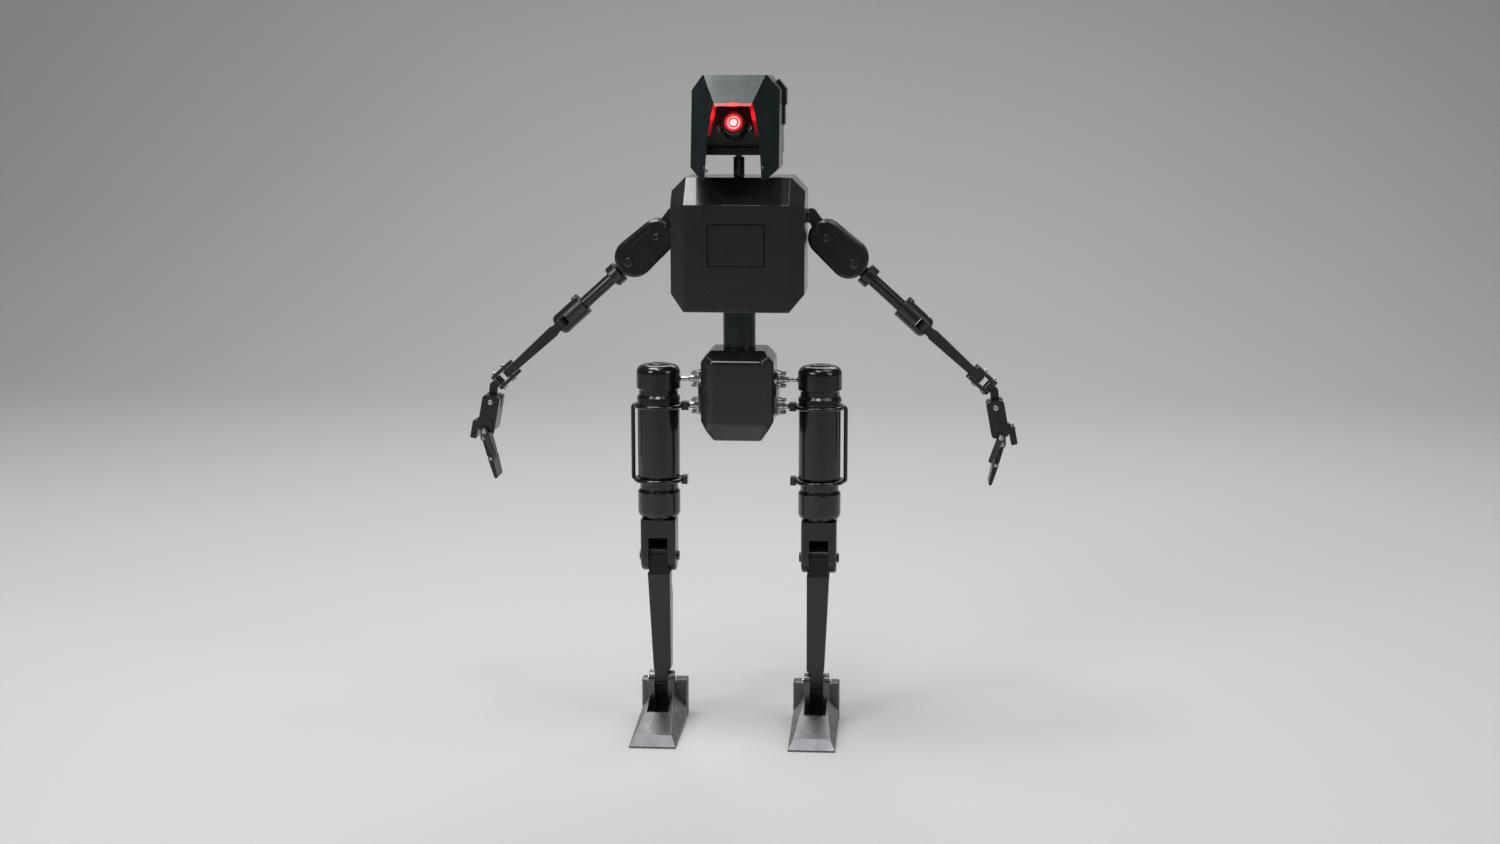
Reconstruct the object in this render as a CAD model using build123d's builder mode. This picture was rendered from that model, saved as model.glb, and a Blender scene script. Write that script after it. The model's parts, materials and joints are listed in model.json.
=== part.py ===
from build123d import *
import math
import os

# Humanoid robot kit, 600 mm tall. It faces -Y, +Z is up, and its own left is +X.
# The origin is on the floor, in the middle of the footprint.
# Every left-hand (+X) piece is drawn once and mirrored for the right.

# ---------------------------------------------------------------- driving sizes
LEG_Y = 16.0            # legs, waist and neck stand on this line, behind the middle
WALL = 3.0              # moulded shells
RUN = 0.05              # radial clearance of a pin or spigot that turns
GAP = 0.3               # face clearance between pieces that move past each other

HEAD_TOP, HEAD_BOTTOM, HEAD_HALF = 600.0, 509.7, 39.0
JAW_Z, JAW_Y = 513.5, LEG_Y - 46.0  # underside of the hood behind its hanging chin
NAPE_Z, NAPE_Y = 531.0, LEG_Y + 14.0
HOOD_CUT_X, HOOD_CUT_Z = 10.6, 13.0     # the hood's cut upper corners
BROW_Y, BROW_Z, BROW_HALF = LEG_Y - 64.0, 576.5, 17.0
CROWN_Y, CROWN_HALF = LEG_Y - 46.0, 27.3
CHIN_Y, CHIN_Z, CHIN_HALF = LEG_Y - 66.0, 517.0, 24.6
HOOD_REAR = LEG_Y + 30.0
ARCH_MID_Z, ARCH_MID_HALF = 548.0, 22.5
LIGHT_WIDTH = 2.7
NOD_Z, NOD_Y = 535.5, LEG_Y + 2.0
EYE_Y, EYE_Z, EYE_TILT = LEG_Y - 44.7, 555.1, 17.0

TORSO_TOP, TORSO_BOTTOM, TORSO_HALF = 509.5, 390.0, 60.5
TORSO_FRONT, TORSO_REAR = LEG_Y - 35.0, LEG_Y + 56.0
GLACIS_RUN, GLACIS_DROP = 25.0, 23.7
TORSO_FLAT_HALF, TORSO_CORNER_Y = 47.0, 17.0
REAR_FLAT_HALF, REAR_CORNER_Y = 52.0, 10.0
SHELL_SPLIT_Y = LEG_Y + 26.0
HATCH_HALF, HATCH_Z0, HATCH_Z1 = 26.0, 430.5, 469.5
WAIST_R = 14.8

PELVIS_TOP, PELVIS_BOTTOM, PELVIS_HALF = 354.0, 271.0, 33.2
PELVIS_FRONT, PELVIS_REAR = LEG_Y - 34.0, LEG_Y + 40.0

ARM_Y = LEG_Y + 34.0    # plane of both arms
ARM_DROP = 42.1         # arm's angle below level at rest, degrees
SHOULDER = (77.8, 453.1)            # shoulder pivot in the arm plane, X and Z
HUB_Z, HUB_R = 473.0, 7.0           # hub that turns in the torso's side
HUB_SPIGOT_R = 5.0
CASE_UPPER_R, CASE_LOWER_R, CASE_SPAN, CASE_HALF_T = 16.4, 18.0, 28.8, 12.0
PIVOT_S = 35.2          # lower pivot, measured along the arm from the shoulder
COLLAR_S, COLLAR_END_S, COLLAR_R = 48.2, 57.8, 10.4
TUBE_R, TUBE_END_S = 5.8, 111.5
SLEEVE_S0, SLEEVE_S1, SLEEVE_R = 94.1, 127.3, 10.2
ELBOW_S, WRIST_PIN_S, WRIST_S = 120.8, 192.3, 203.8
PALM_PIVOT = (235.5, 297.7)
KNUCKLE = (241.8, 264.2)
PALM_ANGLE, FINGER_ANGLE = 79.4, 105.0      # below +X, degrees
PALM_HALF_Y, PALM_HALF_T = 13.2, 8.2
FINGER_PITCH, FINGER_W, FINGER_T = 6.6, 5.4, 5.2
FINGER_ROOT_L, FINGER_TIP_L = 21.0, 19.5

LEG_X = 74.3            # thigh axis
HIP_Z, ROD_RISE = 313.0, 12.3
KNEE_Z, KNEE_R = 159.0, 10.5
CLEVIS_HALF, CLEVIS_GAP, CLEVIS_R = 16.2, 8.9, 14.0
ANKLE_X, ANKLE_Z = 72.8, 40.0
FOOT_HALF, TOE_Y, HEEL_Y = 21.2, LEG_Y - 88.0, LEG_Y + 25.0

os.makedirs("parts", exist_ok=True)


# ---------------------------------------------------------------- helpers
def save(shape, label):
    """Writes one piece."""
    shape.label = label
    export_step(shape, f"parts/{label}.step")


def save_pair(shape, label):
    """Writes the robot's left piece and its mirror image on the right."""
    save(shape, f"left_{label}")
    save(mirror(shape, about=Plane.YZ), f"right_{label}")


def facet(a, b, c, inside, inset=0.0):
    """Plane through three corners, facing away from the inside, moved in by the inset."""
    normal = (Vector(*b) - Vector(*a)).cross(Vector(*c) - Vector(*a)).normalized()
    if normal.dot(Vector(*a) - Vector(*inside)) < 0:
        normal = normal * -1
    return Plane(origin=Vector(*a) - normal * inset, z_dir=normal)


def both_sides(points):
    """The same corners on the -X side."""
    return [(-x, y, z) for x, y, z in points]


def octagon(half, low, high, low_cut, high_cut):
    """Front outline of a box with its four corners cut: cuts are (across, up)."""
    return [
        (-half, low + low_cut[1]), (-half + low_cut[0], low),
        (half - low_cut[0], low), (half, low + low_cut[1]),
        (half, high - high_cut[1]), (half - high_cut[0], high),
        (-half + high_cut[0], high), (-half, high - high_cut[1]),
    ]


def faceted_body(outline, front, rear, facets, inside, inset=0.0):
    """Prism along Y from a front outline, then sliced by the facets."""
    with BuildPart() as body:
        with BuildSketch(Plane.XZ.offset(-(rear - inset))):
            with BuildLine():
                Polyline(*outline, close=True)
            make_face()
            if inset:
                offset(amount=-inset, kind=Kind.INTERSECTION)
        extrude(amount=rear - front - 2 * inset)
        for corners in facets:
            split(bisect_by=facet(*corners, inside, inset), keep=Keep.BOTTOM)
    return body.part


def bar(radius, start, end):
    """Round bar between two points, made apart from the part that is being drawn."""
    start, end = Vector(*start), Vector(*end)
    plane = Plane(origin=(start + end) * 0.5, z_dir=end - start)
    return plane * Cylinder(radius, (end - start).length, mode=Mode.PRIVATE)


def along_x(radius, x0, x1, y, z):
    """Round bar along X."""
    return bar(radius, (x0, y, z), (x1, y, z))


def along_y(radius, x, y0, y1, z):
    """Round bar along Y."""
    return bar(radius, (x, y0, z), (x, y1, z))


# ---------------------------------------------------------------- head
head_inside = (0, LEG_Y - 30, 555)
head_outline = octagon(HEAD_HALF, HEAD_BOTTOM, HEAD_TOP, (10, 10), (HOOD_CUT_X, HOOD_CUT_Z))
cheek = [(BROW_HALF, BROW_Y, BROW_Z), (CROWN_HALF, CROWN_Y, HEAD_TOP), (CHIN_HALF, CHIN_Y, CHIN_Z)]
head_facets = [
    [(-CROWN_HALF, CROWN_Y, HEAD_TOP), (CROWN_HALF, CROWN_Y, HEAD_TOP), (0, BROW_Y, BROW_Z)],
    cheek,
    both_sides(cheek),
]
HOOD_BLANK_FRONT = BROW_Y - 30
head_outer = faceted_body(head_outline, HOOD_BLANK_FRONT, HOOD_REAR, head_facets, head_inside)
head_cavity = faceted_body(
    head_outline, HOOD_BLANK_FRONT, HOOD_REAR, head_facets, head_inside, WALL
)
arch_edge = [
    (BROW_HALF, BROW_Z - 0.5), (ARCH_MID_HALF, ARCH_MID_Z),
    (CHIN_HALF, CHIN_Z), (CHIN_HALF + 0.8, HEAD_BOTTOM - 5),
]
arch_points = arch_edge + [(-x, z) for x, z in reversed(arch_edge)]

with BuildPart() as head_hood:
    add(head_outer)
    add(head_cavity, mode=Mode.SUBTRACT)
    # The face opening, from under the brow down past the chin.
    with BuildSketch(Plane.XZ.offset(-(BROW_Y + 34))):
        with BuildLine():
            Polyline(*arch_points, close=True)
        make_face()
    extrude(amount=70, mode=Mode.SUBTRACT)
    # Open underneath, and open at the back below the rear wall.
    with Locations((0, LEG_Y - 19, JAW_Z)):
        Box(52, 90, 16, mode=Mode.SUBTRACT)
    with Locations((0, HOOD_REAR, JAW_Z + 14)):
        Box(66, 20, 44, mode=Mode.SUBTRACT)
    # Only the chin hangs low; the jaw line rises behind it and again at the nape.
    for start_y, edge_z in ((JAW_Y, JAW_Z), (NAPE_Y, NAPE_Z)):
        with Locations((0, start_y + 50, edge_z - 20)):
            Box(90, 100, 40, mode=Mode.SUBTRACT)
save(head_hood.part, "head_hood")

with BuildPart() as brow_light:
    with BuildSketch(Plane.XZ.offset(-(BROW_Y + 30))):
        with BuildLine():
            Polyline(*arch_points, close=True)
        make_face()
        offset(amount=-0.02, kind=Kind.INTERSECTION)
        with BuildLine(mode=Mode.PRIVATE) as inner_line:
            Polyline(*arch_points, close=True)
        with BuildSketch(mode=Mode.PRIVATE) as inner_arch:
            add(make_face(inner_line.edges()))
            offset(amount=-LIGHT_WIDTH, kind=Kind.INTERSECTION)
        add(inner_arch.sketch, mode=Mode.SUBTRACT)
    extrude(amount=60)
    add(head_outer, mode=Mode.INTERSECT)
    add(
        faceted_body(head_outline, HOOD_BLANK_FRONT, HOOD_REAR, head_facets, head_inside, 3.6),
        mode=Mode.SUBTRACT,
    )
    split(bisect_by=Plane.XY.offset(ARCH_MID_Z), keep=Keep.TOP)
    split(bisect_by=Plane.XZ.offset(-(LEG_Y - 36)), keep=Keep.TOP)
save(brow_light.part, "brow_light")

EAR_FRONT, EAR_LOW, EAR_STEP, EAR_THIN, EAR_THICK = LEG_Y + 10.0, 556.0, 573.0, 2.0, 3.4
cut_normal = Vector(HOOD_CUT_Z, HOOD_CUT_X).normalized()
cut_foot = Vector(HEAD_HALF, HEAD_TOP - HOOD_CUT_Z)
cut_end = cut_foot + Vector(-HOOD_CUT_X, HOOD_CUT_Z) * 0.6
# Where the thick step, bent round the corner, meets its own upright face.
bend_z = cut_foot.Y + EAR_THICK * (1 - cut_normal.X) / cut_normal.Y
with BuildPart() as ear_plate:
    # Plate at the back of the hood's side, thicker above, bent over the cut corner.
    with BuildSketch(Plane.XZ.offset(-HOOD_REAR)):
        with BuildLine():
            Polyline(
                (HEAD_HALF, EAR_LOW), (HEAD_HALF + EAR_THIN, EAR_LOW),
                (HEAD_HALF + EAR_THIN, EAR_STEP), (HEAD_HALF + EAR_THICK, EAR_STEP + 1.4),
                (HEAD_HALF + EAR_THICK, bend_z),
                (cut_end.X + cut_normal.X * EAR_THICK, cut_end.Y + cut_normal.Y * EAR_THICK),
                (cut_end.X, cut_end.Y), (cut_foot.X, cut_foot.Y), close=True,
            )
        make_face()
    extrude(amount=HOOD_REAR - EAR_FRONT)
    chamfer(ear_plate.faces().sort_by(Axis.Y)[0].edges().sort_by(Axis.X)[-1], 0.6)
save_pair(ear_plate.part, "ear_plate")

TRAY_Z0, TRAY_Z1 = 530.0, 536.5
with BuildPart() as head_tray:
    with Locations((0, LEG_Y - 17, (TRAY_Z0 + TRAY_Z1) / 2)):
        Box(2 * (HEAD_HALF - WALL), 30, TRAY_Z1 - TRAY_Z0)
    # Hub at the back that takes the nod pin.
    with Locations((0, LEG_Y + 1.5, 536)):
        Box(18, 15, 12)
    fillet(head_tray.edges().filter_by(Axis.X).group_by(Axis.Y)[-1], 2)
    with Locations((0, NOD_Y - 0.5, 534)):
        Box(6.2, 12.4, 20, mode=Mode.SUBTRACT)
    add(along_x(1.6, -9, 9, NOD_Y, NOD_Z))
save(head_tray.part, "head_tray")

with BuildPart() as sensor_block:
    with Locations((0, LEG_Y - 17, 554.25)):
        Box(60, 19, 35.5)
    chamfer(sensor_block.edges().filter_by(Axis.Z), 2)
    # Two cheeks of the yoke that carries the eye.
    for side in (-1, 1):
        with BuildSketch(Plane.YZ.offset(side * 13.4 - 1.2)):
            with Locations((EYE_Y, EYE_Z)):
                Circle(5)
            with Locations(((EYE_Y + LEG_Y - 26) / 2, EYE_Z)):
                Rectangle(LEG_Y - 26 - EYE_Y, 10)
        extrude(amount=2.4)
    add(along_x(1.5 + RUN, -16, 16, EYE_Y, EYE_Z), mode=Mode.SUBTRACT)
save(sensor_block.part, "sensor_block")

# The eye looks along its own +Z, tipped up from straight ahead.
eye_look = (0, -math.cos(math.radians(EYE_TILT)), math.sin(math.radians(EYE_TILT)))
eye_plane = Plane(origin=(0, EYE_Y, EYE_Z), x_dir=(1, 0, 0), z_dir=eye_look)
with BuildPart() as eye_barrel:
    with BuildSketch(eye_plane.offset(-12)):
        Circle(9.5)
    extrude(amount=6)
    with BuildSketch(eye_plane.offset(-6)):
        Circle(11)
    extrude(amount=20)
    chamfer(eye_barrel.edges().filter_by(GeomType.CIRCLE).group_by(SortBy.RADIUS)[-1], 0.8)
    with BuildSketch(eye_plane.offset(10)):
        Circle(8.4)
    extrude(amount=5, mode=Mode.SUBTRACT)
    add(along_x(1.5, -14.4, 14.4, EYE_Y, EYE_Z))
save(eye_barrel.part, "eye_barrel")

with BuildPart() as eye_ring:
    with BuildSketch(eye_plane.offset(10)):
        Circle(8.35)
        Circle(5.4, mode=Mode.SUBTRACT)
    extrude(amount=4.4)
    chamfer(eye_ring.edges().filter_by(GeomType.CIRCLE).group_by(SortBy.RADIUS)[0], 0.8)
save(eye_ring.part, "eye_ring")

with BuildPart() as eye_lens:
    with BuildSketch(eye_plane.offset(10)):
        Circle(5.35)
    extrude(amount=4.6)
    fillet(eye_lens.faces().sort_by(Axis.Y)[0].edges(), 1.5)
save(eye_lens.part, "eye_lens")

# ---------------------------------------------------------------- neck
with BuildPart() as neck_post:
    with BuildSketch(Plane.XY.offset(TORSO_TOP - 10)):
        with Locations((0, NOD_Y)):
            Circle(4 - RUN)
    extrude(amount=10 + GAP)
    with BuildSketch(Plane.XY.offset(TORSO_TOP + GAP)):
        with Locations((0, NOD_Y)):
            Circle(5)
    extrude(amount=527.5 - TORSO_TOP - GAP)
    # Tongue with a round head for the nod pin.
    with BuildSketch(Plane.YZ.offset(-2.8)):
        with Locations((NOD_Y, NOD_Z)):
            Circle(4.2)
        with Locations((NOD_Y, (527.5 + NOD_Z) / 2)):
            Rectangle(7.2, NOD_Z - 527.5)
    extrude(amount=5.6)
    add(along_x(1.6 + RUN, -6, 6, NOD_Y, NOD_Z), mode=Mode.SUBTRACT)
save(neck_post.part, "neck_post")

# ---------------------------------------------------------------- torso
torso_inside = (0, LEG_Y + 10, 450)
torso_outline = octagon(TORSO_HALF, TORSO_BOTTOM, TORSO_TOP, (13, 15), (12.5, 12.5))
GLACIS_Z = TORSO_TOP - GLACIS_DROP
front_facets = [
    # sloping shelf above the chest
    [(-40, TORSO_FRONT, GLACIS_Z), (40, TORSO_FRONT, GLACIS_Z),
     (0, TORSO_FRONT + GLACIS_RUN, TORSO_TOP)],
    # upright corners
    [(TORSO_FLAT_HALF, TORSO_FRONT, GLACIS_Z), (TORSO_FLAT_HALF, TORSO_FRONT, TORSO_BOTTOM),
     (TORSO_HALF, TORSO_FRONT + TORSO_CORNER_Y, GLACIS_Z)],
    # shoulder corners beside the shelf
    [(TORSO_FLAT_HALF, TORSO_FRONT, GLACIS_Z), (TORSO_HALF, TORSO_FRONT + TORSO_CORNER_Y, GLACIS_Z),
     (TORSO_FLAT_HALF, TORSO_FRONT + GLACIS_RUN, TORSO_TOP)],
]
front_facets += [both_sides(corners) for corners in front_facets[1:]]
rear_corner = [(REAR_FLAT_HALF, TORSO_REAR, GLACIS_Z), (REAR_FLAT_HALF, TORSO_REAR, TORSO_BOTTOM),
               (TORSO_HALF, TORSO_REAR - REAR_CORNER_Y, GLACIS_Z)]
torso_facets = front_facets + [rear_corner, both_sides(rear_corner)]
torso_outer = faceted_body(torso_outline, TORSO_FRONT, TORSO_REAR, torso_facets, torso_inside)
torso_cavity = faceted_body(
    torso_outline, TORSO_FRONT, TORSO_REAR, torso_facets, torso_inside, WALL
)
WAIST_SPIGOT_R = 9.0

with BuildPart() as torso_front_shell:
    add(torso_outer)
    fillet(torso_front_shell.edges(), 1.0)
    add(torso_cavity, mode=Mode.SUBTRACT)
    split(bisect_by=Plane.XZ.offset(-SHELL_SPLIT_Y), keep=Keep.TOP)
    with Locations((0, TORSO_FRONT, (HATCH_Z0 + HATCH_Z1) / 2)):
        Box(2 * HATCH_HALF, 12, HATCH_Z1 - HATCH_Z0, mode=Mode.SUBTRACT)
    with Locations((0, NOD_Y, TORSO_TOP)):
        Cylinder(4, 20, mode=Mode.SUBTRACT)
    with Locations((0, LEG_Y + 5, TORSO_BOTTOM)):
        Cylinder(WAIST_SPIGOT_R + RUN, 20, mode=Mode.SUBTRACT)
save(torso_front_shell.part, "torso_front_shell")

with BuildPart() as torso_back_shell:
    add(torso_outer)
    fillet(torso_back_shell.edges(), 1.0)
    add(torso_cavity, mode=Mode.SUBTRACT)
    split(bisect_by=Plane.XZ.offset(-SHELL_SPLIT_Y), keep=Keep.BOTTOM)
    for side in (-1, 1):
        add(along_x(HUB_SPIGOT_R + RUN, side * 50, side * 70, ARM_Y, HUB_Z), mode=Mode.SUBTRACT)
save(torso_back_shell.part, "torso_back_shell")

with BuildPart() as chest_panel:
    with Locations((0, TORSO_FRONT + 1.9, (HATCH_Z0 + HATCH_Z1) / 2)):
        Box(2 * HATCH_HALF - 1.8, 2.4, HATCH_Z1 - HATCH_Z0 - 1.8)
    fillet(chest_panel.edges().filter_by(Axis.Y), 1.2)
    chamfer(chest_panel.faces().sort_by(Axis.Y)[0].edges(), 0.4)
    # Ledge behind the opening that the panel is screwed to.
    with Locations((0, TORSO_FRONT + WALL + 1.2, (HATCH_Z0 + HATCH_Z1) / 2)):
        Box(2 * HATCH_HALF + 8, 2.4, HATCH_Z1 - HATCH_Z0 + 8)
save(chest_panel.part, "chest_panel")

with BuildPart() as battery_pack:
    with Locations((0, LEG_Y + 36, 440)):
        Box(78, 26, 56)
    fillet(battery_pack.edges(), 3)
save(battery_pack.part, "battery_pack")

with BuildPart() as control_board:
    with Locations((0, LEG_Y - 14, 442)):
        Box(84, 1.6, 62)
    with Locations((0, LEG_Y - 11.2, 446)):
        Box(24, 4, 24)
    with Locations(*[(x, LEG_Y - 10.2, z) for x in (-28, 28) for z in (424, 460)]):
        Box(9, 6, 9)
save(control_board.part, "control_board")

# ---------------------------------------------------------------- pelvis and waist
pelvis_inside = (0, LEG_Y + 3, 312)
pelvis_outline = octagon(PELVIS_HALF, PELVIS_BOTTOM, PELVIS_TOP, (11, 18), (8.5, 10))
PELVIS_MID_Y = (PELVIS_FRONT + PELVIS_REAR) / 2
pelvis_front = [
    [(-20, PELVIS_FRONT, PELVIS_TOP - 9), (20, PELVIS_FRONT, PELVIS_TOP - 9),
     (0, PELVIS_FRONT + 14, PELVIS_TOP)],
    [(23.3, PELVIS_FRONT, 300), (23.3, PELVIS_FRONT, 320), (PELVIS_HALF, PELVIS_FRONT + 11, 300)],
    [(-20, PELVIS_FRONT, PELVIS_BOTTOM + 16), (20, PELVIS_FRONT, PELVIS_BOTTOM + 16),
     (0, PELVIS_FRONT + 12, PELVIS_BOTTOM)],
]
pelvis_front.append(both_sides(pelvis_front[1]))
pelvis_rear = [[(x, 2 * PELVIS_MID_Y - y, z) for x, y, z in corners] for corners in pelvis_front]
HIP_SOCKET_R = 8.0

with BuildPart() as pelvis_housing:
    add(faceted_body(pelvis_outline, PELVIS_FRONT, PELVIS_REAR, pelvis_front + pelvis_rear,
                     pelvis_inside))
    fillet(pelvis_housing.edges(), 5.0)
    for side in (-1, 1):
        add(along_x(HIP_SOCKET_R + RUN, side * 24, side * 40, LEG_Y, HIP_Z), mode=Mode.SUBTRACT)
    with Locations((0, LEG_Y + 5, PELVIS_TOP)):
        Cylinder(10, 16, mode=Mode.SUBTRACT)
save(pelvis_housing.part, "pelvis_housing")

with BuildPart() as waist_column:
    for z0, z1, radius in (
        (PELVIS_TOP - 8, PELVIS_TOP, 10),
        (PELVIS_TOP, TORSO_BOTTOM - GAP, WAIST_R),
        (TORSO_BOTTOM - GAP, TORSO_BOTTOM + 10, WAIST_SPIGOT_R),
    ):
        with BuildSketch(Plane.XY.offset(z0)):
            with Locations((0, LEG_Y + 5)):
                Circle(radius)
        extrude(amount=z1 - z0)
save(waist_column.part, "waist_column")

# ---------------------------------------------------------------- arm (left, then mirrored)
drop = math.radians(ARM_DROP)
arm_u = Vector(math.cos(drop), 0, -math.sin(drop))
arm_n = Vector(math.sin(drop), 0, math.cos(drop))
shoulder_point = Vector(SHOULDER[0], ARM_Y, SHOULDER[1])
# Sketch plane of the arm: local x runs down the arm, local y across it, normal to the front.
arm_plane = Plane(origin=shoulder_point, x_dir=arm_u, z_dir=(0, -1, 0))
# Cross-section planes stand on the arm's axis; their local x is arm_n, local y is the front.
cross_plane = Plane(origin=shoulder_point, x_dir=arm_n, z_dir=arm_u)


def arm_point(s, n=0.0, front=0.0):
    """Point s down the arm, n across it and front of its middle plane."""
    return shoulder_point + arm_u * s + arm_n * n + Vector(0, -front, 0)


def across_arm(radius, s, n0, n1):
    """Round bar across the arm, in the arm's plane."""
    return bar(radius, arm_point(s, n0), arm_point(s, n1))


TONGUE_HALF = 4.0
hub_local = arm_plane.to_local_coords(Vector(66, ARM_Y, HUB_Z))
with BuildPart() as shoulder_bracket:
    with BuildSketch(arm_plane.offset(-TONGUE_HALF)):
        Circle(7)
        with Locations((hub_local.X - 2.5, hub_local.Y)):
            Circle(5)
        make_hull()
    extrude(amount=2 * TONGUE_HALF)
    split(bisect_by=Plane.YZ.offset(TORSO_HALF + GAP), keep=Keep.TOP)
    add(along_x(HUB_R, TORSO_HALF + GAP, TORSO_HALF + 2.1, ARM_Y, HUB_Z))
    add(along_x(HUB_SPIGOT_R, 54.5, TORSO_HALF + GAP, ARM_Y, HUB_Z))
    add(along_y(2.5 + RUN, SHOULDER[0], ARM_Y - 6, ARM_Y + 6, SHOULDER[1]), mode=Mode.SUBTRACT)
save_pair(shoulder_bracket.part, "shoulder_bracket")

SLOT_HALF = TONGUE_HALF + GAP
SLIT_S0, SLIT_S1, SLIT_N, SLIT_DEPTH = 1.3, 23.1, 10.2, 1.2
with BuildPart() as case_blank:
    with BuildSketch(arm_plane.offset(-CASE_HALF_T)):
        Circle(CASE_UPPER_R)
        with Locations((CASE_SPAN, 0)):
            Circle(CASE_LOWER_R)
        make_hull()
    extrude(amount=2 * CASE_HALF_T)
    for face in (case_blank.faces().sort_by(Axis.Y)[0], case_blank.faces().sort_by(Axis.Y)[-1]):
        chamfer(face.edges(), 2.2)
    # Rooms for the shoulder's tongue and for the tube's tongue.
    with BuildSketch(arm_plane.offset(-SLOT_HALF)):
        with Locations((-10.25, 0)):
            Rectangle(39.5, 40)
        with Locations((PIVOT_S + 7, 0)):
            Rectangle(28, 40)
    extrude(amount=2 * SLOT_HALF, mode=Mode.SUBTRACT)
    # Narrow slit along the upper edge of the front face.
    with BuildSketch(arm_plane.offset(CASE_HALF_T - SLIT_DEPTH)):
        with Locations(((SLIT_S0 + SLIT_S1) / 2, SLIT_N)):
            SlotOverall(SLIT_S1 - SLIT_S0, 1.3)
    extrude(amount=SLIT_DEPTH, mode=Mode.SUBTRACT)
    for s, radius in ((0, 2.5), (PIVOT_S, 2.2)):
        with BuildSketch(arm_plane.offset(-CASE_HALF_T)):
            with Locations((s, 0)):
                Circle(radius)
        extrude(amount=2 * CASE_HALF_T, mode=Mode.SUBTRACT)

with BuildPart() as case_front:
    add(case_blank.part)
    split(bisect_by=Plane.XZ.offset(-ARM_Y), keep=Keep.TOP)
save_pair(case_front.part, "shoulder_case_front")

with BuildPart() as case_back:
    add(case_blank.part)
    split(bisect_by=Plane.XZ.offset(-ARM_Y), keep=Keep.BOTTOM)
save_pair(case_back.part, "shoulder_case_back")

with BuildPart() as case_pins:
    for s, radius, head in ((0, 2.5, 3.4), (PIVOT_S, 2.2, 4.4)):
        with BuildSketch(arm_plane.offset(-CASE_HALF_T)):
            with Locations((s, 0)):
                Circle(radius)
        extrude(amount=2 * CASE_HALF_T)
        for start in (-CASE_HALF_T - 1.4, CASE_HALF_T):
            with BuildSketch(arm_plane.offset(start)):
                with Locations((s, 0)):
                    Circle(head)
            extrude(amount=1.4)
save_pair(case_pins.part, "shoulder_case_pins")

with BuildPart() as arm_tube:
    with BuildSketch(arm_plane.offset(-TONGUE_HALF)):
        with Locations((PIVOT_S, 0)):
            Circle(6.2)
        with Locations(((PIVOT_S + COLLAR_S) / 2, 0)):
            Rectangle(COLLAR_S - PIVOT_S + 1, 10.4)
    extrude(amount=2 * TONGUE_HALF)
    with BuildSketch(cross_plane.offset(COLLAR_S)):
        Circle(COLLAR_R)
    extrude(amount=COLLAR_END_S - COLLAR_S)
    chamfer(arm_tube.edges().filter_by(GeomType.CIRCLE).group_by(SortBy.RADIUS)[-1], 0.7)
    with BuildSketch(cross_plane.offset(COLLAR_END_S)):
        Circle(TUBE_R)
    extrude(amount=TUBE_END_S - COLLAR_END_S)
    with BuildSketch(arm_plane.offset(-8)):
        with Locations((PIVOT_S, 0)):
            Circle(2.2 + RUN)
    extrude(amount=16, mode=Mode.SUBTRACT)
save_pair(arm_tube.part, "arm_tube")

FORK_HALF, FORK_S = 4.6, 114.3      # half the slot of the sleeve's fork, and where it starts
with BuildPart() as arm_sleeve:
    with BuildSketch(cross_plane.offset(SLEEVE_S0)):
        Circle(SLEEVE_R)
    extrude(amount=SLEEVE_S1 - SLEEVE_S0)
    fillet(arm_sleeve.faces().sort_by(Axis.Z)[0].edges(), 5)
    with BuildSketch(cross_plane.offset(SLEEVE_S0)):
        Circle(TUBE_R + RUN)
    extrude(amount=TUBE_END_S + GAP - SLEEVE_S0, mode=Mode.SUBTRACT)
    with BuildSketch(arm_plane.offset(-15)):
        with Locations((FORK_S + 10, 0)):
            Rectangle(20, 2 * FORK_HALF)
    extrude(amount=30, mode=Mode.SUBTRACT)
    add(across_arm(1.6, ELBOW_S, -12, 12), mode=Mode.SUBTRACT)
    add(across_arm(1.6, ELBOW_S, -9.2, 9.2))
    # Clamp lug at the upper end.
    with BuildSketch(cross_plane.offset(SLEEVE_S0)):
        with Locations((SLEEVE_R - 0.8, 0)):
            Rectangle(4.4, 6)
    extrude(amount=6)
save_pair(arm_sleeve.part, "arm_sleeve")

BLADE_HALF_T = 3.6      # half depth of the blade, front to back
BLADE_ROOT = FORK_HALF - GAP
blade_edge = [(ELBOW_S, BLADE_ROOT), (131.5, BLADE_ROOT), (132.5, 5.3),
              (WRIST_PIN_S - 8, 3.9), (WRIST_PIN_S + 3, 3.7)]
with BuildPart() as forearm_blade:
    with BuildSketch(arm_plane.offset(-BLADE_HALF_T)):
        with BuildLine():
            Polyline(*blade_edge, *[(x, -y) for x, y in reversed(blade_edge)], close=True)
        make_face()
    extrude(amount=2 * BLADE_HALF_T)
    add(across_arm(5, ELBOW_S, -BLADE_ROOT, BLADE_ROOT))
    chamfer(forearm_blade.edges().filter_by(Axis.Y), 0.6)
    add(across_arm(1.6 + RUN, ELBOW_S, -6, 6), mode=Mode.SUBTRACT)
    add(across_arm(1.3, WRIST_PIN_S, -6, 6), mode=Mode.SUBTRACT)
save_pair(forearm_blade.part, "forearm_blade")

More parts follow.
